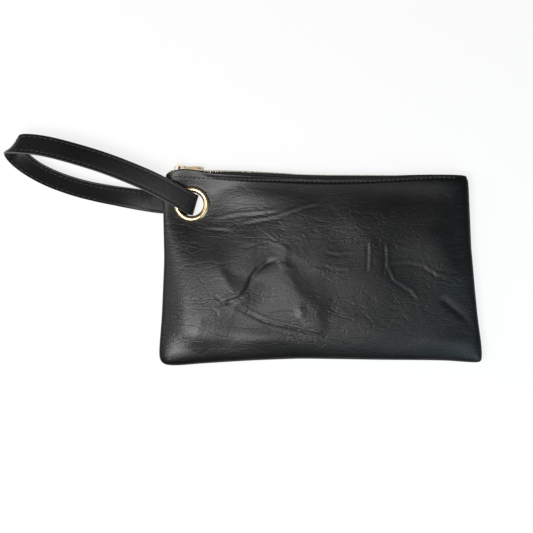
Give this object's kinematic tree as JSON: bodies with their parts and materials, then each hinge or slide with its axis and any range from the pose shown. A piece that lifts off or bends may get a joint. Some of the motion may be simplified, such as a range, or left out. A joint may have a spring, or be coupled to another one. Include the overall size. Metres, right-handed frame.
{
  "type": "makeup bag",
  "caption": "Flat zip-top makeup pouch in wrinkled black leather, with a large metal eyelet in one top corner and a stitched wrist loop through it.",
  "frame": {"origin": "on the resting face of the back panel, under the middle of the bag", "axes": "+X along the zip towards its closed-off end, +Y out of the mouth, +Z out of the front panel"},
  "size_m": [0.442, 0.2116, 0.033],
  "materials": {
    "leather": "wrinkled fine-grain semi-matt leather",
    "strap_leather": "smooth semi-matt leather with painted edges",
    "lining": "plain woven lining",
    "thread": "waxed sewing thread",
    "zip_tape": "woven zip tape",
    "zip_metal": "pale gold plated teeth",
    "gold_metal": "polished light gold plating",
    "stiffener": "plain board"
  },
  "bodies": {
    "bag": {"front_panel": "leather", "back_panel": "leather", "front_lining": "lining", "back_lining": "lining", "front_hem_stitching": "thread", "back_hem_stitching": "thread", "seam_thread": "thread", "eyelet": "gold_metal", "eyelet_washer": "gold_metal", "front_eyelet_reinforcement": "stiffener", "back_eyelet_reinforcement": "stiffener", "front_zip_tape": "zip_tape", "back_zip_tape": "zip_tape", "zip_bottom_stop": "zip_metal"},
    "front_lip": {"front_tape_lip": "zip_tape", "front_zip_teeth": "zip_metal", "front_top_stop": "zip_metal"},
    "back_lip": {"back_tape_lip": "zip_tape", "back_zip_teeth": "zip_metal", "back_top_stop": "zip_metal"},
    "slider": {"slider_body": "gold_metal", "slider_crown": "gold_metal"},
    "pull": {"pull_tab": "gold_metal"},
    "strap": {"strap_outer_leather": "strap_leather", "strap_inner_leather": "strap_leather", "strap_stitching": "thread"}
  },
  "joints": [
    {"name": "slider_travel", "type": "slide", "parent": "bag", "child": "slider", "axis": [1, 0, 0], "range_m": [0, 0.2465], "deforming": ["front_tape_lip", "front_zip_teeth", "back_tape_lip", "back_zip_teeth"]},
    {"name": "front_lip_open", "type": "hinge", "parent": "bag", "child": "front_lip", "pos_m": [0, 0.0879, 0.01735], "axis": [1, 0, 0], "range_deg": [0, 80]},
    {"name": "back_lip_open", "type": "hinge", "parent": "bag", "child": "back_lip", "pos_m": [0, 0.0879, 0.00665], "axis": [1, 0, 0], "range_deg": [-80, 0]},
    {"name": "pull_swing", "type": "hinge", "parent": "slider", "child": "pull", "pos_m": [-0.13, 0.0928, 0.012], "axis": [0, 0, 1], "range_deg": [0, 165]},
    {"name": "strap_swing", "type": "hinge", "parent": "bag", "child": "strap", "pos_m": [-0.11821, 0.059, 0.012], "axis": [0, 0, 1], "range_deg": [-55, 15]}
  ],
  "couplings": [
    {"joint": "front_lip_open", "follows": "slider_travel", "rad_per_m": 5.66},
    {"joint": "back_lip_open", "follows": "slider_travel", "rad_per_m": -5.66}
  ]
}
